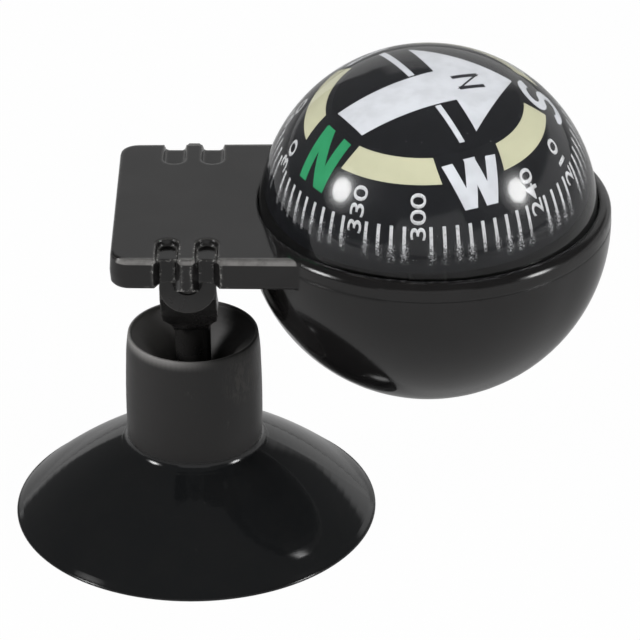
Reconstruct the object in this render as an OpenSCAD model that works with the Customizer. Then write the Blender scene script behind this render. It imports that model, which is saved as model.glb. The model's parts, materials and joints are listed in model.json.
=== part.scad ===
// Dashboard compass on a suction cup, with a tilting ball holder and a liquid-filled capsule.
// Origin: centre of the suction cup on the surface it is pressed to. +X towards the ball, +Z up.

/* [Suction cup] */
// Diameter of the cup at its lip
cup_d = 45; // [40:0.5:55]
// Height of the cup's cone, from the lip to the foot of the barrel
cone_h = 10.3; // [8.8:0.1:13]
// Thickness of the cup's lip
lip_t = 0.4; // [0.3:0.05:1.2]
// Depth of the hollow under the cup
hollow_h = 7.2; // [5:0.1:7.6]
// Diameter of the barrel at its widest
barrel_d = 16.9; // [16:0.1:20]
// Diameter of the barrel's mouth
mouth_d = 16.1; // [14:0.1:16.6]
// Height of the barrel above the cone
barrel_h = 14.8; // [13:0.1:18]
// Thickness of the barrel's wall at its mouth
mouth_t = 0.45; // [0.3:0.05:1]

/* [Stem] */
// Diameter of the ball at the stem's foot
ball_d = 8; // [6.5:0.1:9]
// Height of the ball's centre above the foot of the barrel
ball_up = 5.5; // [4.8:0.1:6.5]
// Gap between the ball and its socket
ball_gap = 0.1; // [0.05:0.01:0.2]
// Diameter of the stem's neck
neck_d = 4.4; // [3.6:0.1:5]
// Width of the ears and of the arms where they meet the ears
ear_w = 6.8; // [5.6:0.1:7.2]
// Thickness of an ear
ear_t = 1.5; // [1.1:0.1:1.8]
// Distance of the ears' rounding below the hinge axis
ear_drop = 0.75; // [0.4:0.05:1.2]
// Thickness of the stem's arms
arm_t = 2.2; // [1.6:0.1:2.8]
// Height of the fork's root above the barrel's mouth
fork_up = 2.2; // [1.6:0.1:4]

/* [Hinge] */
// Height of the hinge axis above the barrel's mouth
hinge_up = 13.6; // [12.8:0.1:18]
// Diameter of the hinge pins
pin_d = 2.6; // [2:0.1:3]
// Gap between a pin and its bore, on the radius
pin_gap = 0.06; // [0.03:0.01:0.1]
// Gap between an ear and the wall beside it
side_gap = 0.2; // [0.1:0.05:0.4]
// Distance of the hinge axis below the plate's underside
axis_drop = 0.63; // [0.3:0.01:1.2]

/* [Plate] */
// Length of the plate from the hinge axis to its free end
plate_back = 9.2; // [8.5:0.1:14]
// Depth of the plate, front to back
plate_w = 30.4; // [28:0.1:36]
// Height of the plate's edge
plate_h = 3.9; // [3.5:0.02:5]
// Extra half-depth of the plate where it meets the bowl
plate_flare = 0.3; // [0:0.05:0.6]
// Wall over the plate's hollow
plate_skin = 1.6; // [1.4:0.05:2]
// Wall round the plate's hollow
plate_wall = 1.3; // [1:0.05:2]
// Radius of the plate's free corners
plate_r = 2.4; // [1.5:0.1:4]
// Width of a pocket in the plate's top
pocket_w = 2.8; // [2:0.1:3]
// Length of a pocket, from the notch's wall inwards
pocket_l = 3.9; // [3:0.1:5]
// Depth of a pocket
pocket_h = 0.8; // [0.4:0.05:0.9]
// Width of the tongue between two pockets
tongue_w = 1.9; // [1.4:0.1:2.4]
// Depth of the front notch
notch_front = 1.6; // [0.8:0.1:1.9]
// Depth of the rear notch
notch_rear = 0.3; // [0.1:0.1:1.6]
// Thickness of the wall behind the front notch
notch_wall = 1.0; // [0.7:0.05:1.2]
// Diameter of the lug's round end
lug_d = 3.0; // [2.8:0.1:3.4]

/* [Bowl] */
// Distance from the hinge axis to the ball's centre
reach = 28.8; // [27.5:0.1:36]
// Distance of the ball's centre behind the plate's middle
ball_off = 0.5; // [0:0.1:1]
// Diameter of the bowl outside
bowl_d = 44.4; // [43:0.1:46]
// Height of the bowl's widest line above the plate's underside
bowl_up = 1.5; // [0.8:0.01:2.4]
// Wall of the bowl
bowl_wall = 1.5; // [1.2:0.05:1.8]
// Height of the rim above the bowl's widest line
rim_h = 2.4; // [2:0.05:4]
// Thickness of the rim
rim_t = 1.47; // [1.3:0.01:2]
// Rounding of the rim's outer edge
rim_r = 1.1; // [0.6:0.05:1.2]
// Gap between the rim and the dome
rim_gap = 0.1; // [0.05:0.01:0.15]
// Height of the parting line above the bowl's widest line
parting_up = 0.3; // [0.2:0.05:0.6]
// Width of the parting line
parting_w = 0.14; // [0.08:0.02:0.2]
// Depth of the ledge for the capsule below the bowl's widest line
seat_drop = 0.86; // [0.6:0.02:1.2]
// Width of the ledge
ledge_w = 0.9; // [0.7:0.05:1.2]
// Thickness of the ledge
ledge_t = 1.2; // [0.8:0.1:2]

/* [Capsule] */
// Wall of the clear dome
dome_wall = 1.2; // [0.8:0.05:1.6]
// Depth of the dome's foot below its widest line
skirt_h = 0.14; // [0.1:0.01:0.6]
// Wall of the capsule's base
base_wall = 1.2; // [0.8:0.05:1.6]
// Gap between the capsule's base and the bowl
base_gap = 0.15; // [0.1:0.05:0.4]
// Thickness of the base's flange
flange_t = 0.8; // [0.6:0.05:1.2]
// Thickness of the seal under the dome
seal_t = 0.4; // [0.3:0.05:0.8]
// Diameter of the filling plug's head
plug_d = 6; // [5:0.1:7]
// Diameter of the filling plug's shank
shank_d = 3.6; // [3:0.1:4]
// Thickness of the filling plug's head
plug_t = 0.9; // [0.7:0.05:1.4]
// Slant of the filling plug from the bowl's lowest point
plug_slant = 32; // [25:1:45]

/* [Card] */
// Diameter of the card
card_d = 28; // [24:0.1:30]
// Height of the card's crown above the pivot
crown_h = 11.9; // [11:0.1:12.4]
// Height of the crown's edge above the pivot
crown_edge = 10.45; // [9:0.05:11]
// Wall of the card
card_wall = 0.7; // [0.5:0.05:1]
// Height of the pivot above the dome's centre
pivot_up = 0.88; // [0:0.01:1.5]
// Distance of the card's lower edge below the pivot
card_low = 1.2; // [0.8:0.1:2]
// Thickness of the float plate
float_t = 0.8; // [0.6:0.05:1.2]
// Lean of the card towards the hinge, as the magnets dip
heel = 1.5; // [0:0.1:8]
// Lean of the card away from the plate's front edge
pitch = 2; // [0:0.1:4]
// Turn of the card's north mark from +X, anticlockwise from above
north = 205; // [0:0.5:359.5]
// Length of a magnet
magnet_l = 11; // [8:0.5:14]
// Width of a magnet
magnet_w = 2.2; // [1.5:0.1:3]
// Thickness of a magnet
magnet_t = 1.6; // [1:0.1:2]
// Distance of a magnet's centre line from the pivot
magnet_y = 4; // [3.4:0.1:5]
// Diameter of the pivot's post at its top
post_d = 2.4; // [2:0.1:3]
// Diameter of the pivot's needle
needle_d = 0.5; // [0.4:0.05:0.8]

/* [Hidden] */
$fn = 96;
eps = 0.01;
hull_fn = 32;

// Heights, from the ground up
mouth_z = cone_h + barrel_h;
ball_z = cone_h + ball_up;
fork_z = mouth_z + fork_up;
hinge_z = mouth_z + hinge_up;
plate_z = hinge_z + axis_drop;
plate_top = plate_z + plate_h;
bowl_z = plate_z + bowl_up;
rim_z = bowl_z + rim_h;
seat_z = bowl_z - seat_drop;
flange_top = seat_z + flange_t;
dome_foot = flange_top + seal_t;
dome_z = dome_foot + skirt_h;
pivot_z = dome_z + pivot_up;

// Radii
ball_r = ball_d / 2;
socket_r = ball_r + ball_gap;
socket_mouth = neck_d / 2 + 1.1;
pin_r = pin_d / 2;
bore_r = pin_r + pin_gap;
ear_r = ear_w / 2;
bowl_r = bowl_d / 2;
rim_out = bowl_r - 0.04;
rim_in = bowl_r - rim_t;
dome_r = rim_in - rim_gap;
seat_r = rim_in - ledge_w;
liner_r = seat_r - base_gap;
card_r = card_d / 2;
crown_side = sqrt(card_r * card_r - crown_edge * crown_edge);
crown_r = (crown_side * crown_side + pow(crown_h - crown_edge, 2)) / (2 * (crown_h - crown_edge));

// Places along Y
edge_y = plate_w / 2;
notch_y = edge_y - notch_front;
wall_y = notch_y - notch_wall;
ear_out = wall_y - side_gap;
ear_in = ear_out - ear_t;
hollow_y = edge_y - plate_wall;
notch_half = tongue_w / 2 + pocket_w + 0.4;
ceiling_z = plate_top - plate_skin;

function arc(cx, cy, r, from, to, steps) =
    [for (i = [0:steps]) let (a = from + (to - from) * i / steps) [cx + r * cos(a), cy + r * sin(a)]];

// A curve between two points that bulges to its left by the given height
function bow(p, q, rise, steps) = let (d = q - p, l = norm(d), n = [-d[1], d[0]] / l)
    [for (i = [0:steps]) let (t = i / steps) p + d * t + n * rise * 4 * t * (1 - t)];

module at_ball(height) {
    translate([reach, ball_off, height])
        children();
}

module at_card() {
    at_ball(pivot_z)
        rotate([-pitch, -heel, 0])
            rotate([0, 0, north])
                children();
}

module both_sides() {
    children();
    mirror([0, 1, 0])
        children();
}

// Soft cup with a hollow underneath and a barrel whose funnel leads to the ball's socket
module suction_cup() {
    cup_r = cup_d / 2;
    barrel_r = barrel_d / 2;
    mouth_r = mouth_d / 2;
    lip_in = cup_r - 1.3;
    outer = concat(
        arc(cup_r - lip_t / 2, lip_t / 2, lip_t / 2, -90, 70, 8),
        bow([cup_r - lip_t / 2, lip_t], [barrel_r + 0.7, cone_h - 0.4], -0.55, 14),
        bow([barrel_r + 0.6, cone_h - 0.3], [barrel_r - 0.08, cone_h + 0.5], 0.12, 4),
        bow([barrel_r - 0.08, cone_h + 0.5], [barrel_r - 0.12, mouth_z - 3.6], -0.1, 6),
        bow([barrel_r - 0.12, mouth_z - 3.6], [mouth_r, mouth_z - 0.15], -0.06, 6));
    funnel = concat(
        arc(mouth_r - mouth_t / 2, mouth_z - 0.15, mouth_t / 2, 20, 160, 6),
        bow([mouth_r - mouth_t, mouth_z - 0.3], [socket_mouth, ball_z + ball_r * 0.62], -0.7, 12));
    hollow = [for (i = [0:18]) let (r = lip_in * i / 18) [r, hollow_h * (1 - pow(r / lip_in, 1.6))]];
    color([0.1, 0.1, 0.11])
        difference() {
            rotate_extrude()
                polygon(concat([[0, ball_z]], hollow, outer, funnel, [[0, ball_z + ball_r * 0.62]]));
            translate([0, 0, ball_z])
                sphere(socket_r);
            translate([0, 0, ball_z])
                cylinder(r = socket_mouth, h = socket_r + 2);
        }
}

// Ball, neck and a fork whose two ears carry the plate's pins
module fork_stem() {
    color([0.13, 0.13, 0.14])
        difference() {
            union() {
                translate([0, 0, ball_z])
                    sphere(ball_r);
                translate([0, 0, ball_z])
                    cylinder(d = neck_d, h = fork_z - ball_z + arm_t);
                fork_arms();
                both_sides()
                    ear();
            }
            both_sides()
                ear_bore();
        }
}

module ear() {
    translate([0, -ear_in, hinge_z - ear_drop])
        rotate([90, 0, 0])
            cylinder(r = ear_r, h = ear_t);
}

module ear_bore() {
    translate([0, -ear_in + 1, hinge_z])
        rotate([90, 0, 0])
            cylinder(r = bore_r, h = ear_t + 2);
    translate([0, -ear_out + 0.35, hinge_z])
        rotate([90, 0, 0])
            cylinder(r = bore_r + 0.35, h = 1);
}

// The fork is a swept yoke from the side and narrows to the neck from the front
module fork_arms() {
    ear_low = hinge_z - ear_drop - ear_r;
    arm_out = ear_out - 0.4;
    root = neck_d / 2;
    under = concat(
        [[root + 0.4, fork_z - 0.6]],
        bow([root + 1.1, fork_z], [arm_out - 0.9, ear_low + 0.4], -0.5, 6),
        [[arm_out, ear_low + 1.6], [arm_out, hinge_z - ear_drop]]);
    over = concat(
        [[ear_in, hinge_z - ear_drop], [ear_in, ear_low + 3]],
        bow([ear_in - 0.5, ear_low + 2.1], [1.2, fork_z + arm_t + 0.3], 0.5, 6),
        [[0, fork_z + arm_t]]);
    side = concat([[0, fork_z - 0.6]], under, over);
    front = concat(
        [[0, fork_z - 1], [root, fork_z - 1], [root, fork_z]],
        bow([root, fork_z], [ear_r - 0.15, fork_z + 3.4], 0.35, 6),
        [[ear_r, fork_z + 5], [ear_r, hinge_z], [0, hinge_z]]);
    intersection() {
        translate([-ear_r - 1, 0, 0])
            rotate([90, 0, 90])
                linear_extrude(ear_w + 2)
                    polygon(concat(side, [for (i = [len(side) - 1:-1:0]) [-side[i][0], side[i][1]]]));
        translate([0, ear_out + 1, 0])
            rotate([90, 0, 0])
                linear_extrude(2 * ear_out + 2)
                    polygon(concat(front, [for (i = [len(front) - 1:-1:0]) [-front[i][0], front[i][1]]]));
    }
}

// Plate and bowl, one moulding parted along the bowl's widest line
module holder() {
    color([0.12, 0.12, 0.13])
        difference() {
            union() {
                difference() {
                    plate();
                    plate_hollow();
                    notches(1, notch_front);
                    notches(-1, notch_rear);
                }
                ribs();
                both_sides()
                    tongue();
                both_sides()
                    hinge_pin();
                bowl_shell();
            }
            bowl_space();
        }
}

// Outline of the plate at one height, drawn in from its widest line
module plate_slab(height, inset) {
    r = plate_r - inset;
    for (side = [-1, 1])
        translate([-plate_back + plate_r, side * (edge_y - plate_r), height])
            cylinder(r = r, h = eps, $fn = hull_fn);
    for (side = [-1, 1])
        translate([reach - bowl_r * 0.62, side * (edge_y + plate_flare - inset - r), height])
            cylinder(r = r, h = eps, $fn = hull_fn);
}

module plate() {
    hull() {
        plate_slab(plate_z, 0.32);
        plate_slab(plate_z + 0.25, 0.1);
        plate_slab(bowl_z, 0);
        plate_slab(plate_top - 0.45, 0.12);
        plate_slab(plate_top - 0.14, 0.24);
        plate_slab(plate_top - eps, 0.52);
    }
}

// The hollow is narrower beside the ears, where the walls stand behind the notches
module plate_hollow() {
    left = -plate_back + plate_wall;
    right = reach - bowl_r * 0.5;
    zone = notch_half + notch_wall;
    translate([0, 0, plate_z - 1])
        linear_extrude(ceiling_z - plate_z + 1)
            polygon([[left, -hollow_y], [-zone, -hollow_y], [-zone, -wall_y], [zone, -wall_y],
                [zone, -hollow_y], [right, -hollow_y], [right, hollow_y], [zone, hollow_y],
                [zone, wall_y], [-zone, wall_y], [-zone, hollow_y], [left, hollow_y]]);
}

// Two stiffening ribs between the hinge and the bowl
module ribs() {
    for (side = [-1, 1])
        translate([notch_half + notch_wall + 0.2, side * plate_w / 5 - 0.5, plate_z + 0.3])
            cube([reach - bowl_r * 0.8 - notch_half - notch_wall, 1, plate_h - plate_skin]);
}

// Two slanted cuts beside the tongue, and two pockets with a round end above them
module notches(side, depth) {
    for (hand = [-1, 1])
        scale([hand, side, 1]) {
            translate([0, 0, plate_z - 1])
                linear_extrude(plate_h + 2)
                    polygon([[tongue_w / 2 - 0.88, -edge_y - 1], [tongue_w / 2 + 0.5, -edge_y + depth],
                        [notch_half - 1, -edge_y + depth], [notch_half + 0.38, -edge_y - 1]]);
            pocket(depth);
        }
}

module pocket(depth) {
    middle = (tongue_w + pocket_w) / 2;
    floor_z = plate_top - pocket_h;
    inner = -notch_y + pocket_l;
    half = pocket_w / 2;
    translate([middle, inner - half, 0])
        rotate([90, 0, 0])
            linear_extrude(plate_w / 2)
                polygon([[-half + 0.25, floor_z], [half - 0.25, floor_z],
                    [half + 0.1, plate_top + 0.2], [-half - 0.1, plate_top + 0.2]]);
    translate([middle, inner - half, floor_z])
        cylinder(r1 = half - 0.25, r2 = half + 0.1, h = pocket_h + 0.2);
}

// Tongue with a rounded lug that reaches below the plate
module tongue() {
    lug_r = lug_d / 2;
    base_half = lug_r - 0.05;
    top_half = tongue_w / 2;
    intersection() {
        translate([0, -wall_y, 0])
            rotate([90, 0, 0])
                linear_extrude(edge_y - wall_y)
                    union() {
                        translate([0, hinge_z])
                            circle(r = lug_r);
                        polygon([[-base_half, hinge_z + 0.3], [base_half, hinge_z + 0.3],
                            [base_half, bowl_z], [top_half, plate_top - 0.15],
                            [top_half - 0.3, plate_top], [-top_half + 0.3, plate_top],
                            [-top_half, plate_top - 0.15], [-base_half, bowl_z]]);
                    }
        translate([0, 0, hinge_z - lug_r - 1])
            linear_extrude(plate_top - hinge_z + lug_r + 2)
                polygon([[-lug_r, -wall_y], [-lug_r, -notch_y], [-0.75, -edge_y + 0.12],
                    [-0.6, -edge_y], [0.6, -edge_y], [0.75, -edge_y + 0.12],
                    [lug_r, -notch_y], [lug_r, -wall_y]]);
        translate([-5, 0, 0])
            rotate([90, 0, 90])
                linear_extrude(10)
                    polygon([[-wall_y, hinge_z - lug_r + 0.35], [-wall_y, plate_top + 1],
                        [-edge_y - 1, plate_top + 1], [-edge_y - 1, plate_z - 0.3],
                        [-edge_y, plate_z - 0.3]]);
    }
}

module hinge_pin() {
    translate([0, -ear_in + 0.2, hinge_z])
        rotate([90, 0, 0])
            cylinder(r = pin_r, h = wall_y - ear_in + 0.3);
}

module bowl_shell() {
    at_ball(bowl_z)
        difference() {
            union() {
                intersection() {
                    sphere(bowl_r, $fn = 128);
                    translate([0, 0, -bowl_r])
                        cube([bowl_d + 2, bowl_d + 2, 2 * bowl_r], center = true);
                }
                cylinder(r1 = bowl_r, r2 = rim_out, h = rim_h - rim_r, $fn = 128);
                cylinder(r = rim_out - rim_r, h = rim_h, $fn = 128);
                translate([0, 0, rim_h - rim_r])
                    rotate_extrude($fn = 128)
                        translate([rim_out - rim_r, 0])
                            circle(r = rim_r, $fn = 48);
            }
            translate([0, 0, parting_up])
                rotate_extrude($fn = 128)
                    polygon([[bowl_r - parting_w, 0], [bowl_r + 0.1, -parting_w / 2 - 0.05],
                        [bowl_r + 0.1, parting_w / 2 + 0.05]]);
        }
}

// Space under the ledge, through the ledge, and above it
module bowl_space() {
    at_ball(bowl_z) {
        intersection() {
            sphere(bowl_r - bowl_wall, $fn = 128);
            translate([0, 0, -seat_drop - ledge_t - bowl_r])
                cube([bowl_d, bowl_d, 2 * bowl_r], center = true);
        }
        translate([0, 0, -seat_drop - ledge_t - eps])
            cylinder(r = seat_r, h = ledge_t + 1, $fn = 128);
        translate([0, 0, -seat_drop])
            cylinder(r = rim_in, h = seat_drop + rim_h + 5, $fn = 128);
    }
}

// Clear dome, cut flat just below its widest line
module clear_dome() {
    color([0.85, 0.88, 0.9, 0.35])
        at_ball(dome_z)
            difference() {
                sphere(dome_r, $fn = 128);
                sphere(dome_r - dome_wall, $fn = 128);
                translate([0, 0, -skirt_h - dome_r])
                    cube([2 * dome_r + 2, 2 * dome_r + 2, 2 * dome_r], center = true);
            }
}

// Lower half of the sealed capsule, with a flange, a socket for the post and a boss for the plug
module capsule_base() {
    color([0.09, 0.09, 0.1])
        difference() {
            base_outside();
            difference() {
                base_inside();
                base_bosses();
            }
            at_plug() {
                translate([0, 0, -1])
                    cylinder(d = plug_d + 0.3, h = plug_t + 1.4);
                cylinder(d = shank_d + 0.04, h = 6);
            }
            at_ball(post_foot())
                cylinder(d = post_d + 1.64, h = 6);
        }
}

module base_outside() {
    at_ball(bowl_z) {
        intersection() {
            sphere(liner_r, $fn = 128);
            translate([0, 0, flange_t / 2 - seat_drop - bowl_r])
                cube([bowl_d, bowl_d, 2 * bowl_r], center = true);
        }
        translate([0, 0, -seat_drop])
            cylinder(r = rim_in - 0.1, h = flange_t, $fn = 128);
    }
}

module base_inside() {
    at_ball(bowl_z) {
        sphere(liner_r - base_wall, $fn = 128);
        cylinder(r = liner_r - base_wall, h = bowl_r, $fn = 128);
    }
}

module base_bosses() {
    at_ball(bowl_z) {
        rotate([0, -plug_slant, 0])
            translate([0, 0, -liner_r - 1])
                cylinder(d = plug_d + 2, h = 5.6);
        translate([0, 0, -liner_r - 1])
            cylinder(d = post_d + 5, h = 5.5);
    }
}

function post_foot() = bowl_z - liner_r + base_wall;

module at_plug() {
    at_ball(bowl_z)
        rotate([0, -plug_slant, 0])
            translate([0, 0, -liner_r + 0.3])
                children();
}

// Flat seal between the base's flange and the dome's skirt
module dome_seal() {
    color([0.2, 0.2, 0.2])
        at_ball(flange_top)
            difference() {
                cylinder(r = dome_r, h = seal_t, $fn = 128);
                translate([0, 0, -1])
                    cylinder(r = dome_r - dome_wall, h = seal_t + 2, $fn = 128);
            }
}

// Slotted screw plug
module filling_plug() {
    color([0.75, 0.62, 0.3])
        at_plug()
            difference() {
                union() {
                    cylinder(d = plug_d, h = plug_t);
                    cylinder(d = shank_d, h = plug_t + 3);
                }
                translate([-plug_d, -0.4, -1])
                    cube([2 * plug_d, 0.8, 1.4]);
            }
}

module plug_gasket() {
    color([0.25, 0.25, 0.25])
        at_plug()
            translate([0, 0, plug_t])
                difference() {
                    cylinder(d = plug_d - 0.4, h = 0.4);
                    translate([0, 0, -1])
                        cylinder(d = shank_d + 0.04, h = 3);
                }
}

// Tapered post that holds the needle
module pivot_post() {
    foot = post_foot();
    top = pivot_z - card_low - 1.6;
    color([0.7, 0.7, 0.72])
        at_ball(foot)
            difference() {
                union() {
                    cylinder(d = post_d + 1.6, h = 4);
                    translate([0, 0, 4])
                        cylinder(d1 = post_d + 1.6, d2 = post_d, h = top - foot - 4);
                }
                translate([0, 0, top - foot - 3])
                    cylinder(d = needle_d + 0.02, h = 4);
            }
}

module pivot_needle() {
    low = pivot_z - card_low - 4.6;
    shank = pivot_z - 0.75 - low;
    color([0.8, 0.8, 0.82])
        at_ball(low) {
            cylinder(d = needle_d, h = shank);
            translate([0, 0, shank])
                cylinder(d1 = needle_d, d2 = 0.06, h = 0.72);
        }
}

// Ball-shaped card with a low crown, open underneath
module compass_card() {
    color([0.08, 0.08, 0.09])
        at_card()
            difference() {
                card_form(0);
                card_form(card_wall);
                translate([0, 0, -card_r - card_low])
                    cube([card_d + 2, card_d + 2, 2 * card_r], center = true);
            }
}

module card_form(inset) {
    intersection() {
        sphere(card_r - inset, $fn = 128);
        translate([0, 0, crown_h - crown_r])
            sphere(crown_r - inset, $fn = 256);
    }
}

// Plate that closes the card's underside and carries the jewel in a raised hub
module card_float() {
    plate_r = sqrt(pow(card_r - card_wall, 2) - card_low * card_low) - 0.02;
    color([0.85, 0.85, 0.82])
        at_card()
            difference() {
                union() {
                    translate([0, 0, -card_low])
                        cylinder(r = plate_r, h = float_t);
                    translate([0, 0, -card_low])
                        cylinder(r1 = 3, r2 = 2, h = card_low + 2);
                }
                translate([0, 0, -card_low - 1])
                    cylinder(r = 1.5, h = card_low + 0.5);
                translate([0, 0, -0.51])
                    cylinder(r = jewel_r() + 0.01, h = 1.51);
            }
}

function jewel_r() = 0.88;

module jewel_cup() {
    color([0.75, 0.2, 0.3])
        at_card()
            difference() {
                translate([0, 0, -0.5])
                    cylinder(r = jewel_r(), h = 1.5);
                translate([0, 0, -0.6])
                    cylinder(r1 = 0.66, r2 = 0, h = 0.63);
            }
}

// Bar magnet under the float plate, along the card's north line
module magnet(side) {
    color([0.35, 0.35, 0.37])
        at_card()
            translate([0, side * magnet_y, -card_low - magnet_t / 2])
                cube([magnet_l, magnet_w, magnet_t], center = true);
}

suction_cup();
fork_stem();
holder();
clear_dome();
capsule_base();
dome_seal();
filling_plug();
plug_gasket();
pivot_post();
pivot_needle();
compass_card();
card_float();
jewel_cup();
magnet(1);  // magnet_left
magnet(-1);  // magnet_right
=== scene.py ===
"""Looks of a dashboard ball compass on a suction cup.

Card print, clear capsule, black mouldings, lamps, room and camera, round the frame's solids.
"""

import json
import logging
import math
from collections.abc import Iterator
from contextlib import contextmanager
from dataclasses import dataclass, field
from enum import Enum

import bmesh
import bpy
from mathutils import Matrix, Vector

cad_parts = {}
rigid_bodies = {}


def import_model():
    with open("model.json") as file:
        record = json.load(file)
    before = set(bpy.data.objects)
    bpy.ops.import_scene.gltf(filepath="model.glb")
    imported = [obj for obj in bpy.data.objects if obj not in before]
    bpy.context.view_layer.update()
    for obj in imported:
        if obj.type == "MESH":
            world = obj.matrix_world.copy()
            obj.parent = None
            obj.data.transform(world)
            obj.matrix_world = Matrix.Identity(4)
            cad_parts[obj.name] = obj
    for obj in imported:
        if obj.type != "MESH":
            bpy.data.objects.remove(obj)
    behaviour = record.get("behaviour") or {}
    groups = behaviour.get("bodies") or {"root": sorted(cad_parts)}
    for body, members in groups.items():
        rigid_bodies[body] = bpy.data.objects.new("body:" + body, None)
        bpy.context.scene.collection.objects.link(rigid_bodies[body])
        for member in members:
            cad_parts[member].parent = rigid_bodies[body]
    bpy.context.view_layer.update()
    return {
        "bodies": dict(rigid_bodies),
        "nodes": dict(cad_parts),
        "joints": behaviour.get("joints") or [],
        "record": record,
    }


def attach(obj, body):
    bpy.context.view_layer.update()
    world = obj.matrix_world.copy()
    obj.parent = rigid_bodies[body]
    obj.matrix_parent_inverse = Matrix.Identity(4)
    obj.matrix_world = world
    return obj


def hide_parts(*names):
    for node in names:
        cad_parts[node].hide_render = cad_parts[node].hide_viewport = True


LOG = logging.getLogger("ball_compass")
MM = 0.001
WHITE = (1.0, 1.0, 1.0)

Colour = tuple[float, float, float]
Spot = tuple[float, float, float]
Point = tuple[float, float]
Span = tuple[float, float]
Stroke = tuple[float, float, float, float, float]
Piece = bpy.types.Object
Material = bpy.types.Material


class Body(str, Enum):
    """Moving bodies that new pieces ride on."""

    BALL = "ball"
    CARD = "card"


class Ink(str, Enum):
    """Printing inks of the card."""

    WHITE = "white"
    SILVER = "silver"
    GREEN = "green"
    CREAM = "cream"
    BLACK = "black"


# --- shader expressions ---


@dataclass(frozen=True)
class Flow:
    """A socket that can be used in a Python expression."""

    graph: "Graph"
    socket: bpy.types.NodeSocket

    def maths(self, operation: str, *others: "Flow | float") -> "Flow":
        """Adds one Math node."""
        inputs = dict(enumerate((self, *others)))
        return self.graph.node("ShaderNodeMath", {"operation": operation}, inputs)

    def __add__(self, other: "Flow | float") -> "Flow":
        """Sum."""
        return self.maths("ADD", other)

    def __radd__(self, other: float) -> "Flow":
        """Sum with a number first."""
        return self + other

    def __sub__(self, other: "Flow | float") -> "Flow":
        """Difference."""
        return self.maths("SUBTRACT", other)

    def __rsub__(self, other: float) -> "Flow":
        """Difference from a number."""
        return self * -1.0 + other

    def __mul__(self, other: "Flow | float") -> "Flow":
        """Product."""
        return self.maths("MULTIPLY", other)

    def __rmul__(self, other: float) -> "Flow":
        """Product with a number first."""
        return self * other

    def __gt__(self, other: "Flow | float") -> "Flow":
        """1 where this is greater."""
        return self.maths("GREATER_THAN", other)

    def __abs__(self) -> "Flow":
        """Size without its sign."""
        return self.maths("ABSOLUTE")

    def clamp(self) -> "Flow":
        """Held between 0 and 1."""
        return self.graph.node("ShaderNodeClamp", {}, {"Value": self})

    def smooth(self, low: float, high: float) -> "Flow":
        """Smooth step from 0 at low to 1 at high."""
        return self.graph.node(
            "ShaderNodeMapRange",
            {"interpolation_type": "SMOOTHSTEP"},
            {"Value": self, "From Min": low, "From Max": high},
        )


@dataclass(frozen=True)
class Pattern:
    """Noise on a piece: its fade is where it steps from 0 to 1, its share what it counts."""

    scale: float
    detail: float = 3.0
    rough: float = 0.5
    fade: Span | None = None
    share: float = 1.0


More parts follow.
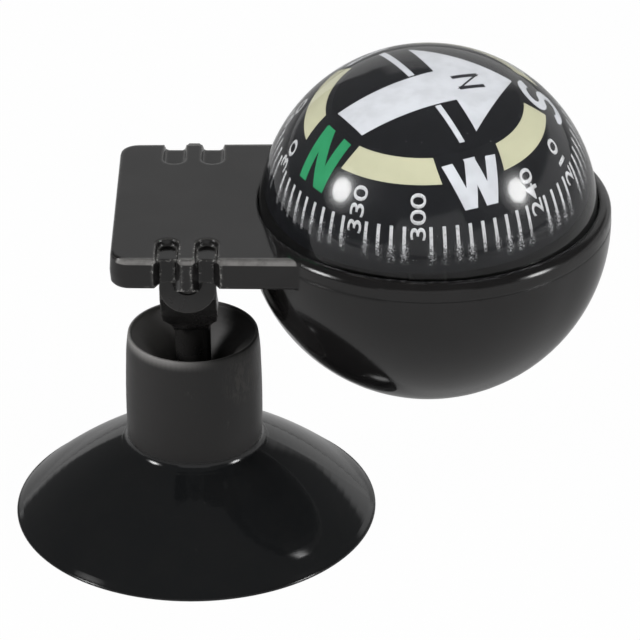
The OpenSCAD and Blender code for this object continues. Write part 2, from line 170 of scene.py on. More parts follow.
class Graph:
    """Node graph of one material, or of the room."""

    bevel_samples = 6

    def __init__(self, name: str, room: bpy.types.World | None = None) -> None:
        """Starts an empty graph.

        Args:
            name: name of the material.
            room: the world, where the graph is the room's.
        """
        self.owner = room or bpy.data.materials.new(name)
        self.owner.use_nodes = True
        self.tree = self.owner.node_tree
        self.tree.nodes.clear()

    def node(
        self,
        kind: str,
        settings: dict[str, object],
        sockets: dict[str | int, object],
        output: str | int | None = 0,
    ) -> Flow | None:
        """Adds any node.

        Args:
            kind: Blender's name of the node type.
            settings: properties of the node, set first.
            sockets: values or flows of its inputs, by name or place; colours have no alpha.
            output: the output that is handed back, if any.

        Returns:
            The chosen output.
        """
        made = self.tree.nodes.new(kind)
        for key, value in settings.items():
            setattr(made, key, value)
        for key, value in sockets.items():
            socket = made.inputs[key]
            if isinstance(value, Flow):
                self.tree.links.new(value.socket, socket)
            else:
                socket.default_value = (*value, 1.0) if socket.type == "RGBA" else value
        return Flow(self, made.outputs[output]) if output is not None else None

    def place(self) -> Flow:
        """Object coordinates in millimetres."""
        where = self.node("ShaderNodeTexCoord", {}, {}, "Object")
        return self.stretched(where, (1.0 / MM, 1.0 / MM, 1.0 / MM))

    def stretched(self, where: Flow, scale: Spot) -> Flow:
        """Coordinates times a factor along each axis."""
        return self.node("ShaderNodeMapping", {}, {"Vector": where, "Scale": scale})

    def axis(self, where: Flow, name: str) -> Flow:
        """One coordinate of a place."""
        return self.node("ShaderNodeSeparateXYZ", {}, {"Vector": where}, name)

    def vectors(self, operation: str, first: Flow, second: Flow | Spot, output: str) -> Flow:
        """Adds one Vector Math node."""
        settings = {"operation": operation}
        return self.node("ShaderNodeVectorMath", settings, {0: first, 1: second}, output)

    def reach(self, where: Flow, spot: Spot) -> Flow:
        """Distance from a spot."""
        return self.vectors("DISTANCE", where, spot, "Value")

    def level_reach(self, where: Flow, point: Point) -> Flow:
        """Distance from an upright line through a point of the XY plane."""
        level = self.vectors("MULTIPLY", where, (1.0, 1.0, 0.0), "Vector")
        return self.reach(level, (*point, 0.0))

    def noise(self, where: Flow, pattern: Pattern) -> Flow:
        """Value of a pattern at a place."""
        sockets = {
            "Vector": where,
            "Scale": pattern.scale,
            "Detail": pattern.detail,
            "Roughness": pattern.rough,
        }
        value = self.node("ShaderNodeTexNoise", {}, sockets, "Fac")
        if pattern.fade is not None:
            value = value.smooth(*pattern.fade)
        return value if pattern.share == 1.0 else value * pattern.share

    def mix(self, factor: Flow | float, first: object, second: object) -> Flow:
        """Mixes two colours."""
        return self.node(
            "ShaderNodeMix", {"data_type": "RGBA"}, {0: factor, 6: first, 7: second}, 2
        )

    def rounded(self, radius: float) -> Flow:
        """Normal with edges rounded to a radius in millimetres."""
        settings = {"samples": self.bevel_samples}
        return self.node("ShaderNodeBevel", settings, {"Radius": radius * MM})

    def bump(
        self, height: Flow, strength: float, distance: float, normal: Flow | None = None
    ) -> Flow:
        """Normal from a height.

        Args:
            height: the height.
            strength: how much of it shows.
            distance: what a height of 1 stands for, in millimetres.
            normal: the normal without it, or none for the surface's own.

        Returns:
            The normal.
        """
        sockets = {"Height": height, "Strength": strength, "Distance": distance * MM}
        if normal is not None:
            sockets["Normal"] = normal
        return self.node("ShaderNodeBump", {}, sockets)

    def ray(self, kind: str) -> Flow:
        """1 for rays of one kind."""
        return self.node("ShaderNodeLightPath", {}, {}, f"Is {kind} Ray")

    def either(self, factor: Flow, first: Flow, second: Flow) -> Flow:
        """Mixes two shaders."""
        return self.node("ShaderNodeMixShader", {}, {0: factor, 1: first, 2: second})

    def close(self, shader: Flow, out: str = "ShaderNodeOutputMaterial") -> Material:
        """Ends the graph with its surface."""
        self.node(out, {}, {"Surface": shader}, None)
        return self.owner

    def finish(
        self, colour: Flow, rough: Flow, normal: Flow | None = None, **more: float
    ) -> Material:
        """Ends the graph with one Principled surface.

        Args:
            colour: its colour.
            rough: its roughness.
            normal: its normal, or none for the piece's own.
            more: constants of its other sockets, with _ for a space.

        Returns:
            The material.
        """
        sockets = {"Base Color": colour, "Roughness": rough}
        if normal is not None:
            sockets["Normal"] = normal
        sockets.update({name.replace("_", " "): value for name, value in more.items()})
        return self.close(self.node("ShaderNodeBsdfPrincipled", {}, sockets))


def toned(colour: Colour, factor: float) -> Colour:
    """Colour made darker or paler."""
    return tuple(part * factor for part in colour)


# --- finishes ---


@dataclass(frozen=True)
class MouldedPlastic:
    """Black injection-moulded plastic, cloudy and handled, with a painted highlight along its
    edges.
    """

    name: str
    colour: Colour = (0.0085, 0.008, 0.008)
    speck_colour: Colour = (0.12, 0.115, 0.11)
    # colour of the painted highlight along the edges
    worn_colour: Colour = (0.11, 0.107, 0.103)
    pale: float = 1.7
    cloud: Pattern = Pattern(0.16, 4.0, 0.55)
    fine: Pattern = Pattern(2.6, 3.0, 0.6)
    speck: Pattern = Pattern(9.0, 2.0, 0.5, (0.66, 0.78), 0.05)
    swell: Pattern = Pattern(0.11, 2.0, 0.4, share=4.0)
    shine: float = 0.06
    handled: float = 0.06
    ripple: float = 0.02
    edge: float = 0.32
    # how much of the painted edge highlight shows
    worn: float = 0.8
    worn_bend: Span = (0.01, 0.16)

    def make(self) -> Material:
        """Builds the material.

        Returns:
            The finished material.
        """
        g = Graph(self.name)
        where = g.place()
        cloud = g.noise(where, self.cloud)
        fine = g.noise(where, self.fine)
        rough = cloud.smooth(0.35, 0.7) * self.handled + self.shine + fine * 0.03
        clouded = cloud.smooth(0.3, 0.75) * 0.5
        colour = g.mix(clouded, self.colour, toned(self.colour, self.pale))
        colour = g.mix(g.noise(where, self.speck), colour, self.speck_colour)
        height = g.noise(where, self.swell) + fine * 0.12
        soft = g.rounded(self.edge)
        flat = g.node("ShaderNodeNewGeometry", {}, {}, "Normal")
        bend = 1.0 - g.vectors("DOT_PRODUCT", soft, flat, "Value")
        # wear paints the edge highlight; on the holder it also paints shade and glints
        colour, height = self.wear(g, where, bend, colour, height)
        normal = g.bump(height, self.ripple, 0.25, soft)
        return g.finish(colour, rough.clamp(), normal, IOR=1.5)

    def wear(
        self, g: Graph, where: Flow, bend: Flow, colour: Flow, height: Flow
    ) -> tuple[Flow, Flow]:
        """Paints the edges paler where the surface bends, a painted highlight, and hands back
        colour and height.
        """
        # painted highlight: edges painted paler where the surface bends
        worn = bend.smooth(*self.worn_bend) * self.worn
        return g.mix(worn, colour, self.worn_colour), height


@dataclass(frozen=True)
class HolderPlastic(MouldedPlastic):
    """Holder's black plastic: painted highlights on the plate's edges and under its top edges,
    painted shade on the bowl's bends, flash at the hinge with painted glints.
    """

    name: str = "holder_black"
    ripple: float = 0.03
    edge: float = 0.55
    # colour of the painted shade on the bowl's bends
    groove_colour: Colour = (0.002, 0.002, 0.002)
    # colour of the painted highlight band under the plate's top edges
    rubbed_colour: Colour = (0.25, 0.243, 0.235)
    # colour of the painted glints on the hinge's flash
    flash_colour: Colour = (0.5, 0.49, 0.47)
    # streaks of the painted highlight band
    rub: Pattern = Pattern(0.45, 4.0, 0.6, (0.3, 0.6), 0.45)
    lumps: Pattern = Pattern(1.5, 4.0, 0.7, (0.45, 0.75), 9.0)
    fleck: Pattern = Pattern(2.4, 2.0, 0.6, (0.56, 0.6), 0.8)
    rub_least: float = 0.5
    chamfer_fall: float = 0.4
    bowl_axis: Point = (28.8, 0.5)
    bowl_reach: Span = (22.25, 22.45)
    plate_side: Span = (14.35, 14.65)
    chamfer_foot: Span = (42.5, 42.65)
    chamfer_top: Span = (43.1, 43.2)
    hinge: Spot = (0.0, -15.0, 40.5)
    hinge_reach: Span = (4.2, 6.2)
    fleck_bend: Span = (0.01, 0.08)

    def wear(
        self, g: Graph, where: Flow, bend: Flow, colour: Flow, height: Flow
    ) -> tuple[Flow, Flow]:
        """Paints highlights on the plate's edges and under its top edges, paints shade on the
        bowl's bends and puts flash with painted glints on the hinge.

        Args:
            g: the material's graph.
            where: place on the piece.
            bend: how sharply the surface bends there.
            colour: colour without its painted highlights, shade and glints.
            height: height without wear.

        Returns:
            The worn colour and height.
        """
        # mask of the painted edge highlight, where the surface bends
        worn = bend.smooth(*self.worn_bend) * self.worn
        plate = g.level_reach(where, self.bowl_axis).smooth(*self.bowl_reach)
        aside, upright = (g.axis(where, name) for name in "YZ")
        # painted highlight: a streaky pale band on the plate's front and back faces under the top
        # edge
        chamfer = 1.0 - upright.smooth(*self.chamfer_top) * self.chamfer_fall
        chamfer = chamfer * upright.smooth(*self.chamfer_foot)
        rub = g.noise(where, self.rub) + self.rub_least
        # mask of the painted highlight band
        rubbed = chamfer * rub * abs(aside).smooth(*self.plate_side) * plate
        # painted shade: the bowl's bends and parting-line groove painted dark
        colour = g.mix(worn * (1.0 - plate), colour, self.groove_colour)
        # painted highlight band
        colour = g.mix(rubbed, colour, self.rubbed_colour)
        # painted highlight on the plate's edges
        colour = g.mix(worn * plate, colour, self.worn_colour)
        near = 1.0 - g.reach(where, self.hinge).smooth(*self.hinge_reach)
        height = height + g.noise(where, self.lumps) * near
        # painted glints: pale flecks on the hinge's bends
        fleck = g.noise(where, self.fleck) * near * bend.smooth(*self.fleck_bend)
        return g.mix(fleck, colour, self.flash_colour), height


@dataclass(frozen=True)
class SoftVinyl:
    """Soft black vinyl of the suction cup: glossy cone, duller scuffed barrel, funnel painted pale
    as painted light, paler on its left.
    """

    name: str = "soft_black_vinyl"
    cone_colour: Colour = (0.0082, 0.0088, 0.0094)
    barrel_colour: Colour = (0.0125, 0.011, 0.0105)
    # painted light: pale colour of the funnel's inside
    funnel_colour: Colour = (0.28, 0.272, 0.265)
    cloud_colour: Colour = (0.014, 0.0135, 0.013)
    dust_colour: Colour = (0.09, 0.084, 0.076)
    cloud: Pattern = Pattern(0.22, 4.0, 0.6)
    fine: Pattern = Pattern(3.2, 4.0, 0.6)
    streak: Pattern = Pattern(1.5, 5.0, 0.7)
    patch: Pattern = Pattern(0.2, 2.0, 0.5, (0.5, 0.6), 0.5)
    dust: Pattern = Pattern(6.0, 2.0, 0.5, (0.69, 0.77), 0.2)
    swell: Pattern = Pattern(0.2, 3.0, 0.45, share=1.2)
    streak_stretch: Spot = (1.0, 1.0, 0.45)
    streak_thin: Span = (0.58, 0.7)
    streak_thick: Span = (0.42, 0.6)
    barrel_foot: Span = (10.6, 11.5)
    funnel_edge: Span = (8.0, 8.2)
    funnel_shade: Span = (-3.0, 4.0)
    lip_edge: Span = (21.7, 22.6)
    lip_fall: float = 11.0
    rubbed: Spot = (6.8, -4.9, 21.6)
    rubbed_reach: Span = (1.6, 4.6)
    ripple: float = 0.07
    edge: float = 0.3

    def make(self) -> Material:
        """Builds the material.

        Returns:
            The finished material.
        """
        g = Graph(self.name)
        where = g.place()
        barrel = g.axis(where, "Z").smooth(*self.barrel_foot)
        radius = g.level_reach(where, (0.0, 0.0))
        # the painted light falls off from the funnel's left to its right
        left = 1.0 - g.axis(where, "X").smooth(*self.funnel_shade)
        funnel = (1.0 - radius.smooth(*self.funnel_edge)) * barrel
        cloud = g.noise(where, self.cloud)
        streak = g.noise(g.stretched(where, self.streak_stretch), self.streak)
        near = 1.0 - g.reach(where, self.rubbed).smooth(*self.rubbed_reach)
        scuff = streak.smooth(*self.streak_thin) * g.noise(where, self.patch)
        scuff = (scuff + streak.smooth(*self.streak_thick) * near).clamp() * barrel
        dusty = scuff * 0.55 + g.noise(where, self.dust)
        colour = g.mix(barrel * 0.75, self.cone_colour, self.barrel_colour)
        # painted light: the funnel's inside painted pale, more on its left
        colour = g.mix(funnel * (left * 0.95 + 0.06), colour, self.funnel_colour)
        colour = g.mix(cloud.smooth(0.35, 0.7) * 0.2, colour, self.cloud_colour)
        colour = g.mix(dusty, colour, self.dust_colour)
        rough = barrel * 0.27 + cloud * 0.05 + 0.05 + scuff * 0.15 + funnel * 0.25
        height = g.noise(where, self.fine) * (barrel * 0.5 + 0.02) - scuff * 3.0
        height = height + g.noise(where, self.swell)
        height = height - radius.smooth(*self.lip_edge) * self.lip_fall
        normal = g.bump(height, self.ripple, 0.3, g.rounded(self.edge))
        return g.finish(colour, rough.clamp(), normal, IOR=1.5)


@dataclass(frozen=True)
class FilledClear:
    """Clear dome together with the liquid behind it; lamps shine through it."""

    name: str = "clear_dome_and_liquid"
    ior: float = 1.48
    tint: Colour = (0.975, 0.985, 0.99)
    shadow_tint: Colour = (0.96, 0.97, 0.97)
    rub: Pattern = Pattern(1.4, 5.0, 0.65, (0.6, 0.85), 0.03)
    shine: float = 0.06
    swell: Pattern = Pattern(0.12, 2.0, 0.4)

    def make(self) -> Material:
        """Builds the material.

        Returns:
            The finished material.
        """
        g = Graph(self.name)
        where = g.place()
        clear = g.node(
            "ShaderNodeBsdfPrincipled",
            {},
            {
                "Base Color": self.tint,
                "Roughness": g.noise(where, self.rub) + self.shine,
                "IOR": self.ior,
                "Transmission Weight": 1.0,
                "Normal": g.bump(g.noise(where, self.swell), 0.02, 0.3),
            },
        )
        through = g.node("ShaderNodeBsdfTransparent", {}, {"Color": self.shadow_tint})
        return g.close(g.either(g.ray("Shadow"), clear, through))


@dataclass(frozen=True)
class CardBlack:
    """Dull black of the floating card, with dots of ink and a mist of it at the ticks' feet."""

    name: str = "card_black"
    colour: Colour = (0.0075, 0.0078, 0.009)
    cloud_colour: Colour = (0.013, 0.0135, 0.016)
    dot_colour: Colour = (0.4, 0.4, 0.42)
    mist_colour: Colour = (0.4, 0.4, 0.41)
    cloud: Pattern = Pattern(0.3, 4.0, 0.6)
    dots: Pattern = Pattern(3.1, 1.0, 0.4, (0.79, 0.83), 0.5)
    mist: Pattern = Pattern(5.0, 3.0, 0.75, (0.5, 0.58), 0.85)
    drift: Pattern = Pattern(0.5, 2.0, 0.5, (0.34, 0.54))
    grain: Pattern = Pattern(5.0)
    pivot: Point = (28.8, 0.5)
    north: float = 65.0
    half_tick_step: float = 3.0
    half_figure_step: float = 15.0
    mist_foot: Span = (42.2, 43.0)
    mist_top: Span = (44.2, 45.4)
    off_tick: Span = (0.5, 2.6)
    off_figure: Span = (2.4, 3.6)
    sheen: float = 0.06

    def make(self) -> Material:
        """Builds the material.

        Returns:
            The finished material.
        """
        g = Graph(self.name)
        where = g.place()
        cloud = g.noise(where, self.cloud)
        colour = g.mix(cloud.smooth(0.3, 0.8) * 0.5, self.colour, self.cloud_colour)
        colour = g.mix(g.noise(where, self.dots), colour, self.dot_colour)
        across, along, upright = (g.axis(where, name) for name in "XYZ")
        round_about = (across - self.pivot[0]).maths("ARCTAN2", along * -1.0 + self.pivot[1])
        turned = round_about * math.degrees(1.0) + (360.0 + self.north)
        beside_tick = turned.maths("PINGPONG", self.half_tick_step)
        beside_figure = turned.maths("PINGPONG", self.half_figure_step)
        zone = upright.smooth(*self.mist_foot) * (1.0 - upright.smooth(*self.mist_top))
        zone = zone * (1.0 - beside_tick.smooth(*self.off_tick))
        zone = zone * beside_figure.smooth(*self.off_figure)
        mist = g.noise(where, self.mist) * g.noise(where, self.drift) * zone
        colour = g.mix(mist, colour, self.mist_colour)
        normal = g.bump(g.noise(where, self.grain), 0.05, 0.05)
        return g.finish(colour, cloud * 0.1 + 0.3, normal, Specular_IOR_Level=self.sheen)


@dataclass(frozen=True)
class PrintInk:
    """Printed ink, blotchy where the pad left it thin and worn off low on the card."""

    name: str
    colour: Colour
    thin: float
    worn_below: float | None = None
    foot_z: float = 0.0
    thin_tone: float = 0.72
    bare_colour: Colour = (0.02, 0.02, 0.022)
    cloud: Pattern = Pattern(0.5, 3.0, 0.55)
    grain: Pattern = Pattern(6.0, 4.0, 0.75)
    patch: Pattern = Pattern(0.34, 2.0, share=0.24)
    worn_from: float = 0.2
    worn_least: float = 0.11
    gone_fade: Span = (0.57, 0.66)
    gone: float = 0.85
    sheen: float = 0.06

    def make(self) -> Material:
        """Builds the material.

        Returns:
            The finished material.
        """
        g = Graph(self.name)
        where = g.place()
        cloud = g.noise(where, self.cloud)
        thin = cloud.smooth(0.35, 0.7) * self.thin
        colour = g.mix(thin, self.colour, toned(self.colour, self.thin_tone))
        if self.worn_below is not None:
            height = g.axis(where, "Z") - self.foot_z
            low = 1.0 - height.smooth(self.worn_from, self.worn_below)
            wear = low * (self.worn_least + g.noise(where, self.patch))
            gone = (g.noise(where, self.grain) + wear).smooth(*self.gone_fade)
            colour = g.mix(gone * self.gone, colour, self.bare_colour)
        return g.finish(colour, cloud * 0.1 + 0.5, Specular_IOR_Level=self.sheen)


@dataclass(frozen=True)
class PlainMoulding:
    """Plain dull moulding or rubber of an inner piece."""

    name: str
    colour: Colour
    rough: float = 0.5
    sheen: float = 0.5
    metallic: float = 0.0
    dark_tone: float = 0.7
    cloud: Pattern = Pattern(0.8, 4.0, 0.6)
    grain: Pattern = Pattern(4.0)

    def make(self) -> Material:
        """Builds the material.

        Returns:
            The finished material.
        """
        g = Graph(self.name)
        where = g.place()
        cloud = g.noise(where, self.cloud)
        dark = cloud.smooth(0.3, 0.8) * 0.5
        return g.finish(
            g.mix(dark, self.colour, toned(self.colour, self.dark_tone)),
            cloud * 0.15 + self.rough,
            g.bump(g.noise(where, self.grain), 0.1, 0.05),
            Metallic=self.metallic,
            Specular_IOR_Level=self.sheen,
        )


@dataclass(frozen=True)
class BareMetal(PlainMoulding):
    """Small metal piece with turning marks."""

    rough: float = 0.28
    metallic: float = 1.0
    dark_tone: float = 0.6
    cloud: Pattern = Pattern(1.2, 4.0, 0.6)
    grain: Pattern = Pattern(8.0)


# --- modelling by hand ---


class Bench:
    """Where pieces are modelled: selection, edit mode, modifiers and placing."""

    def clear(self) -> None:
        """Deselects everything."""
        for other in bpy.context.view_layer.objects:
            other.select_set(False)
        bpy.context.view_layer.objects.active = None

    def take(self, piece: Piece) -> None:
        """Selects one piece alone and makes it active."""
        self.clear()
        piece.select_set(True)
        bpy.context.view_layer.objects.active = piece

    @contextmanager
    def edit(self, piece: Piece, whole: bool = False) -> Iterator[bmesh.types.BMesh]:
        """Opens a piece in edit mode.

        Args:
            piece: the piece.
            whole: whether all of it is selected.

        Yields:
            The edit mesh.
        """
        self.take(piece)
        bpy.ops.object.mode_set(mode="EDIT")
        if whole:
            bpy.ops.mesh.select_all(action="SELECT")
        try:
            yield bmesh.from_edit_mesh(piece.data)
        finally:
            bmesh.update_edit_mesh(piece.data)
            bpy.ops.object.mode_set(mode="OBJECT")

    def added(self, name: str) -> Piece:
        """Names the piece that was just made and is active.

        Args:
            name: its name.

        Returns:
            The piece.
        """
        piece = bpy.context.view_layer.objects.active
        piece.name = name
        piece.data.name = name
        return piece

    def modify(self, piece: Piece, kind: str, **settings: object) -> None:
        """Adds a modifier and applies it.

        Args:
            piece: the piece.
            kind: the modifier's type.
            settings: its properties.
        """
        self.take(piece)
        modifier = piece.modifiers.new(kind.lower(), kind)
        for key, value in settings.items():
            setattr(modifier, key, value)
        bpy.ops.object.modifier_apply(modifier=modifier.name)

    def settle(self, piece: Piece, matrix: Matrix | None = None) -> None:
        """Moves a piece and puts its place in its mesh.

        Args:
            piece: the piece.
            matrix: the move, or none for the place it has.
        """
        self.take(piece)
        if matrix is not None:
            piece.matrix_world = matrix @ piece.matrix_world
        bpy.ops.object.transform_apply(location=True, rotation=True, scale=True)

    def join(self, pieces: list[Piece], name: str) -> Piece:
        """Joins pieces into one.

        Args:
            pieces: what is joined.
            name: its name.

        Returns:
            The joined piece.
        """
        self.take(pieces[0])
        for piece in pieces:
            piece.select_set(True)
        bpy.ops.object.join()
        return self.added(name)

    def copy(self, piece: Piece) -> Piece:
        """Copies a piece with its own mesh."""
        self.take(piece)
        bpy.ops.object.duplicate(linked=False)
        return bpy.context.view_layer.objects.active


BENCH = Bench()


def finish_piece(piece: Piece, body: Body, material: Material) -> None:
    """Gives a new piece its material and its body.

    Args:
        piece: the piece.
        body: the body that it rides on.
        material: its material.
    """
    piece.data.materials.clear()
    piece.data.materials.append(material)
    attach(piece, body.value)
    LOG.info("%s: %d faces, rides on %s", piece.name, len(piece.data.polygons), body.value)


def dress_node(frame: dict, node: str, material: Material) -> None:
    """Gives a carried-over node its material.

    Args:
        frame: the loaded frame.
        node: the node's name.
        material: its material.
    """
    mesh = frame["nodes"][node].data
    mesh.materials.clear()
    mesh.materials.append(material)
    LOG.info("%s: dressed in %s", node, material.name)


# --- sub-assemblies ---


@dataclass(frozen=True)
class Letter:
    """Letter of a wind: its name, bearing, latitude, ink and straight strokes."""

    name: str
    bearing: float
    lat: float
    ink: Ink
    strokes: tuple[Stroke, ...] = ()


@dataclass
class CardPrint:
    """Everything printed on the card, laid out in the card's own frame round the pivot.

    Longitudes run anticlockwise from -Y towards +X, latitudes up from the card's equator.
    Flat marks are drawn in the XY plane, in millimetres, before they are laid on the card.
    """

    pivot: Spot = (28.8, 0.5, 42.19)
    card_r: float = 14.0
    crown_h: float = 11.9
    crown_edge: float = 10.45
    heel: float = 1.5
    pitch: float = 2.0
    north_lon: float = -65.0
    ink_t: float = 0.03
    ink_solid: float = 0.8
    second_layer: float = 0.02
    last_cut: float = 0.02
    tick_every: int = 6
    tick_low: float = 2.4
    tick_high: float = 16.6
    tick_w: float = 0.37
    tick_field: float = 0.6
    figures: tuple[int, ...] = (30, 60, 120, 150, 210, 240, 300, 330)
    figure_lat: float = 20.8
    figure_h: float = 1.66
    figure_step: float = 1.77
    figure_stretch: float = 1.57
    figure_bold: float = 0.02
    figure_field: float = 0.55
    font_height: float = 0.71
    font_steps: int = 4
    letter_field: float = 0.8
    letters: tuple[Letter, ...] = (
        Letter("letter_north", 0, 33.6, Ink.GREEN, (
            (-2.0, -2.95, -2.35, 3.05, 1.35),
            (1.2, -2.95, 1.3, 3.15, 1.35),
            (1.1, -2.95, -2.15, 3.15, 1.65),
        )),
        Letter("letter_west", 269, 34.1, Ink.SILVER, (
            (-1.3, -2.85, -2.62, 2.45, 1.28),
            (-1.1, -2.85, 0.08, 2.6, 1.25),
            (1.25, -2.85, -0.05, 2.6, 1.25),
            (1.35, -2.85, 2.55, 2.4, 1.28),
        )),
        Letter("letter_east", 90, 29.4, Ink.SILVER, (
            (-1.3, -2.7, -1.3, 2.5, 1.2),
            (0.3, -2.7, 0.3, -1.7, 3.4),
            (0.3, -0.6, 0.3, 0.4, 3.0),
            (0.3, 1.5, 0.3, 2.5, 3.4),
        )),
    )
    south: Letter = Letter("letter_south", 180, 34.1, Ink.SILVER)
    south_bends: tuple[tuple[Point, float, float], ...] = (
        ((0.0, 1.2), 20, 270),
        ((0.0, -1.2), 90, -160),
    )
    bend_steps: int = 14
    bend_inner: Point = (1.05, 0.74)
    bend_outer: Point = (2.1, 1.72)
    bands: tuple[tuple[str, float, float, float, float], ...] = (
        ("nw", 291.3, 342.4, 34.9, 47.0),
        ("sw", 196.5, 247.0, 34.4, 46.4),
        ("se", 112.0, 160.0, 28.3, 38.0),
        ("ne", 27.5, 74.0, 32.6, 45.0),
    )
    band_slant: float = 4.0
    band_step: float = 3.0
    crown_shift: Point = (0.33, 0.73)
    crown_field: float = 0.8
    arrow_shaft: tuple[Point, ...] = ((-8.9, -2.65), (-8.9, 2.65), (2.1, 2.65), (2.1, -2.65))
    arrow_head: tuple[Point, ...] = ((2.1, -8.0), (2.1, 8.0), (9.3, 0.12), (9.3, -0.12))
    cross_lines: tuple[Point, Point, int] = ((0.6, 6.3), (-0.05, 6.05), 4)
    small_bars: tuple[Point, Point, int] = ((2.7, 0.52), (4.5, 0.98), 3)
    small_slant: tuple[Point, ...] = ((2.9, -1.08), (5.5, 0.88), (6.1, 1.08), (3.5, -0.88))
    inks: dict[Ink, Material] = field(default_factory=dict)

    @property
    def crown_r(self) -> float:
        """Radius of the crown's dome."""
        side = self.card_r**2 - self.crown_edge**2
        rise = self.crown_h - self.crown_edge
        return (side + rise * rise) / (2 * rise)

    @property
    def seat(self) -> Matrix:
        """Where the card's frame lies in the compass."""
        heel = Matrix.Rotation(math.radians(-self.heel), 4, "Y")
        pitch = Matrix.Rotation(math.radians(-self.pitch), 4, "X")
        return Matrix.Translation(Vector(self.pivot) * MM) @ heel @ pitch

    def mix_inks(self) -> None:
        """Makes the inks."""
        white = PrintInk("ink_white", (0.56, 0.56, 0.57), 0.3, 3.8, self.pivot[2])
        self.inks = {
            Ink.WHITE: white.make(),
            Ink.SILVER: PrintInk("ink_silver", (0.56, 0.57, 0.6), 0.4).make(),
            Ink.GREEN: PrintInk("ink_green", (0.025, 0.24, 0.1), 0.3).make(),
            Ink.CREAM: PrintInk("ink_cream", (0.47, 0.46, 0.32), 0.12).make(),
            Ink.BLACK: PrintInk("ink_black", (0.02, 0.02, 0.024), 0.2).make(),
        }

    def upright(self, bearing: float, lat: float) -> Matrix:
        """Turns a flat mark to stand on the card, its Y upwards.

        Args:
            bearing: bearing in degrees.
            lat: latitude in degrees.

        Returns:
            The move.
        """
        return (
            Matrix.Rotation(math.radians(self.north_lon - bearing), 4, "Z")
            @ Matrix.Rotation(math.radians(-lat), 4, "X")
            @ Matrix.Translation((0, -self.card_r * MM, 0))
            @ Matrix.Rotation(math.radians(90), 4, "X")
        )

    def grid_cut(self, mark: Piece, step: float) -> None:
        """Cuts a flat mark into small fields, so that it can bend.

        Args:
            mark: the flat mark.
            step: width of a field in millimetres.
        """
        low = [min(v.co[i] for v in mark.data.vertices) for i in (0, 1)]
        high = [max(v.co[i] for v in mark.data.vertices) for i in (0, 1)]
        with BENCH.edit(mark):
            for axis, normal in enumerate(((1, 0, 0), (0, 1, 0))):
                place = low[axis] + step * MM
                while place < high[axis] - self.last_cut * MM:
                    bpy.ops.mesh.select_all(action="SELECT")
                    spot = [0.0, 0.0, 0.0]
                    spot[axis] = place
                    bpy.ops.mesh.bisect(plane_co=spot, plane_no=normal)
                    place += step * MM

    def wrap(self, mark: Piece, crown: bool = False, layer: float = 0.0) -> None:
        """Lays a mark on the card's ball or on its crown and gives it the ink's thickness.

        Args:
            mark: the mark, in the card's frame.
            crown: whether it lies on the crown.
            layer: what its ink is thicker, where it covers another mark.
        """
        ink_t = self.ink_t + layer
        radius = self.crown_r if crown else self.card_r
        centre = Vector((0, 0, (self.crown_h - radius) * MM if crown else 0))
        BENCH.settle(mark, Matrix.Translation(-centre))
        BENCH.modify(
            mark,
            "CAST",
            cast_type="SPHERE",
            factor=1.0,
            size=(radius + ink_t) * MM,
            use_radius_as_size=False,
        )
        with BENCH.edit(mark, whole=True):
            bpy.ops.mesh.normals_make_consistent(inside=False)
        outward = sum(face.normal.dot(face.center) * face.area for face in mark.data.polygons)
        if outward < 0:
            with BENCH.edit(mark, whole=True):
                bpy.ops.mesh.flip_normals()
        BENCH.modify(mark, "SOLIDIFY", thickness=ink_t * self.ink_solid * MM, offset=-1.0)
        BENCH.settle(mark, Matrix.Translation(centre))

    def plate(self, name: str, width: float, height: float, cuts: int = 0) -> Piece:
        """Flat strip round the origin.

        Args:
            name: its name.
            width: size along X in millimetres.
            height: size along Y in millimetres.
            cuts: number of cuts across.

        Returns:
            The strip.
        """
        BENCH.clear()
        bpy.ops.mesh.primitive_plane_add(size=1)
        strip = BENCH.added(name)
        strip.scale = (width * MM, height * MM, 1)
        BENCH.settle(strip)
        if cuts:
            with BENCH.edit(strip, whole=True):
                bpy.ops.mesh.subdivide(number_cuts=cuts)
        return strip

    def four_cornered(self, corners: tuple[Point, ...]) -> Piece:
        """Flat part with four corners.

        Args:
            corners: its corners, in order round it.

        Returns:
            The part.
        """
        part = self.plate("part", 1, 1)
        with BENCH.edit(part) as mesh:
            vertices = [loop.vert for face in mesh.faces for loop in face.loops]
            for vertex, (x, y) in zip(vertices, corners):
                vertex.co = Vector((x, y, 0)) * MM
        return part

    def stroke(self, x0: float, y0: float, x1: float, y1: float, width: float) -> Piece:
        """Straight stroke of a letter.

        Args:
            x0: X of its foot.
            y0: Y of its foot.
            x1: X of its top.
            y1: Y of its top.
            width: its width along X.

        Returns:
            The stroke, a slanted strip with level ends.
        """
        strip = self.plate("stroke", width, 1)
        with BENCH.edit(strip) as mesh:
            for vertex in mesh.verts:
                x, y = (x0, y0) if vertex.co.y < 0 else (x1, y1)
                vertex.co = Vector((x * MM + vertex.co.x, y * MM, 0))
        return strip

    def bend(self, centre: Point, start: float, end: float) -> list[Piece]:
        """Bent stroke of a letter.

        Args:
            centre: the middle of its bend.
            start: angle where it starts, in degrees.
            end: angle where it ends, in degrees.

        Returns:
            The stroke, as a row of short strips.
        """
        strips = []
        turn = (end - start) / self.bend_steps
        for i in range(self.bend_steps):
            first, last = (math.radians(start + turn * k) for k in (i, i + 1))
            ends = (
                (first, self.bend_inner),
                (first, self.bend_outer),
                (last, self.bend_outer),
                (last, self.bend_inner),
            )
            corners = tuple(
                (centre[0] + rx * math.cos(angle), centre[1] + ry * math.sin(angle))
                for angle, (rx, ry) in ends
            )
            strips.append(self.four_cornered(corners))
        return strips

